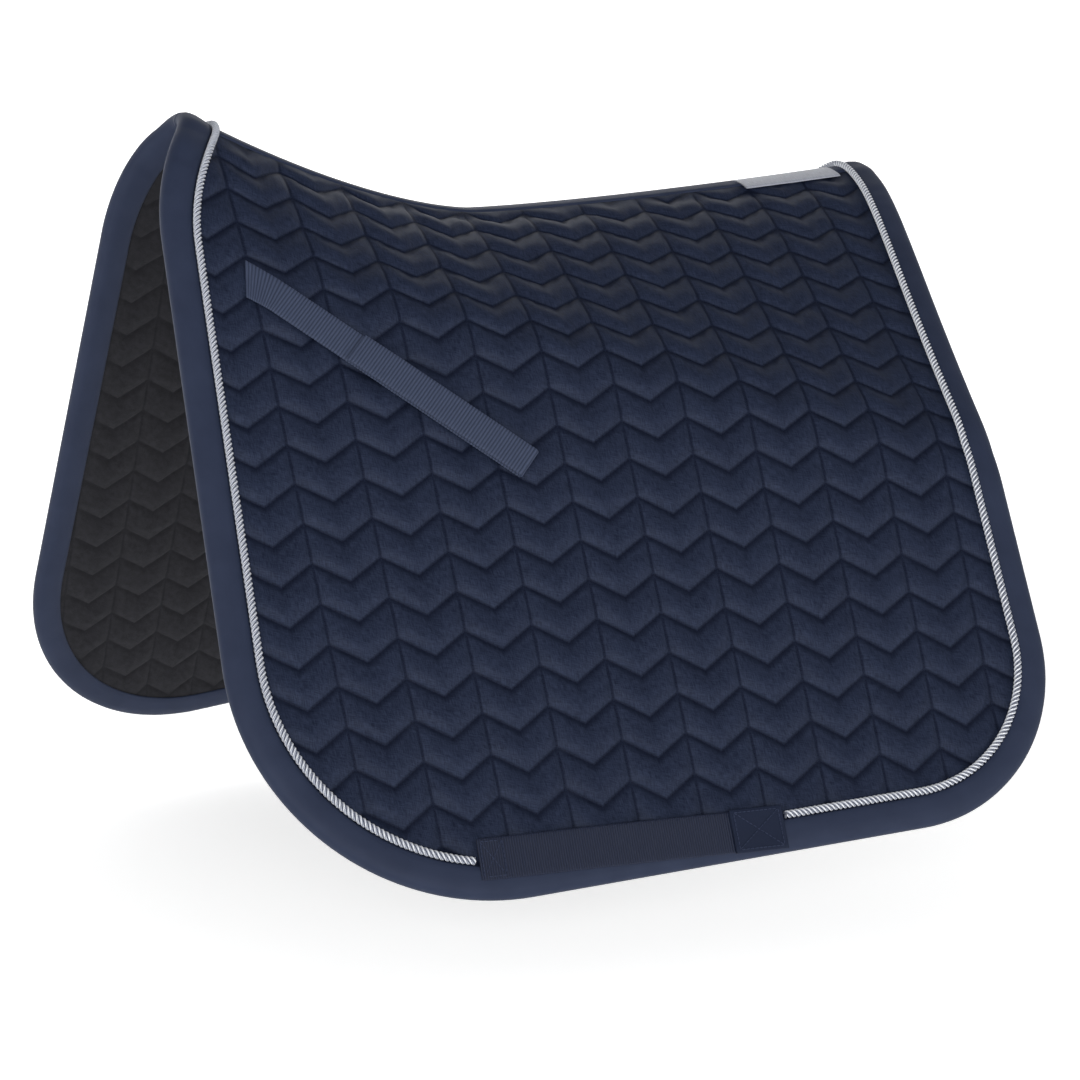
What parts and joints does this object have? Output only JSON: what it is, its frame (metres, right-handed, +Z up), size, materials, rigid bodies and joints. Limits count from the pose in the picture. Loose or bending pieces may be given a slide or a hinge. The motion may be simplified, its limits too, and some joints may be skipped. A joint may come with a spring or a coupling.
{
  "type": "saddle pad",
  "caption": "Quilted dressage saddle pad with spine seam, bound edges, twisted trim cord, girth loops and hook-and-loop billet straps.",
  "frame": {"origin": "underside of the spine seam, 292 mm behind its wither end, where a horse back or a rack carries the pad", "axes": "+Z up, +X from the withers to the loin, -Y the near (left) side of the horse, +Y the off side"},
  "size_m": [0.6874, 0.8058, 0.5486],
  "materials": {
    "cover_satin": "navy satin-weave cotton, quilted",
    "wadding": "polyester wadding, sealed inside",
    "lining_fleece": "black brushed fleece, quilted",
    "binding": "plain navy cotton binding",
    "trim_cord": "silver-white twisted cord",
    "girth_webbing": "ribbed navy webbing",
    "billet_webbing": "ribbed blue-grey webbing",
    "thread": "navy polyester thread",
    "hook_tape": "hook side of hook-and-loop tape",
    "loop_tape": "loop side of hook-and-loop tape",
    "label": "blank woven label"
  },
  "bodies": {
    "spine": {"near_crown_cover": "cover_satin", "near_crown_padding": "wadding", "near_crown_lining": "lining_fleece", "off_crown_cover": "cover_satin", "off_crown_padding": "wadding", "off_crown_lining": "lining_fleece", "spine_cover_tape": "binding", "spine_seam_tape": "binding", "spine_label": "label", "wither_binding": "binding", "loin_binding": "binding", "wither_trim_cord": "trim_cord", "loin_trim_cord": "trim_cord"},
    "near_flap": {"near_flap_cover": "cover_satin", "near_flap_padding": "wadding", "near_flap_lining": "lining_fleece", "near_flap_binding": "binding", "near_trim_cord_front": "trim_cord", "near_trim_cord_rear": "trim_cord", "near_girth_strap": "girth_webbing", "near_girth_anchor": "girth_webbing", "near_girth_stitching": "thread", "near_billet_end": "billet_webbing"},
    "near_billet_strap": {"near_billet_strap": "billet_webbing", "near_hook_tape": "hook_tape"},
    "near_billet_tab": {"near_billet_tab": "billet_webbing", "near_loop_tape": "loop_tape"},
    "off_flap": {"off_flap_cover": "cover_satin", "off_flap_padding": "wadding", "off_flap_lining": "lining_fleece", "off_flap_binding": "binding", "off_trim_cord_front": "trim_cord", "off_trim_cord_rear": "trim_cord", "off_girth_strap": "girth_webbing", "off_girth_anchor": "girth_webbing", "off_girth_stitching": "thread", "off_billet_end": "billet_webbing"},
    "off_billet_strap": {"off_billet_strap": "billet_webbing", "off_hook_tape": "hook_tape"},
    "off_billet_tab": {"off_billet_tab": "billet_webbing", "off_loop_tape": "loop_tape"}
  },
  "joints": [
    {"name": "near_flap_lift", "type": "hinge", "parent": "spine", "child": "near_flap", "pos_m": [-0.329, -0.069, -0.0068], "axis": [-0.9108, 0.3192, 0.2619], "range_deg": [-15, 60], "stiffness_Nm_per_rad": 6},
    {"name": "near_billet_lift", "type": "hinge", "parent": "near_flap", "child": "near_billet_strap", "pos_m": [-0.26432, -0.11367, -0.04797], "axis": [-0.6867, -0.2443, -0.6846], "range_deg": [0, 100]},
    {"name": "near_tab_peel", "type": "hinge", "parent": "near_billet_strap", "child": "near_billet_tab", "pos_m": [-0.09958, -0.219, -0.17562], "axis": [0.6867, 0.2443, 0.6846], "range_deg": [0, 165]},
    {"name": "off_flap_lift", "type": "hinge", "parent": "spine", "child": "off_flap", "pos_m": [-0.329, 0.069, -0.0068], "axis": [0.9108, 0.3192, -0.2619], "range_deg": [-15, 60], "stiffness_Nm_per_rad": 6},
    {"name": "off_billet_lift", "type": "hinge", "parent": "off_flap", "child": "off_billet_strap", "pos_m": [-0.26432, 0.11367, -0.04797], "axis": [0.6867, -0.2443, 0.6846], "range_deg": [0, 100]},
    {"name": "off_tab_peel", "type": "hinge", "parent": "off_billet_strap", "child": "off_billet_tab", "pos_m": [-0.09958, 0.219, -0.17562], "axis": [-0.6867, 0.2443, -0.6846], "range_deg": [0, 165]}
  ]
}
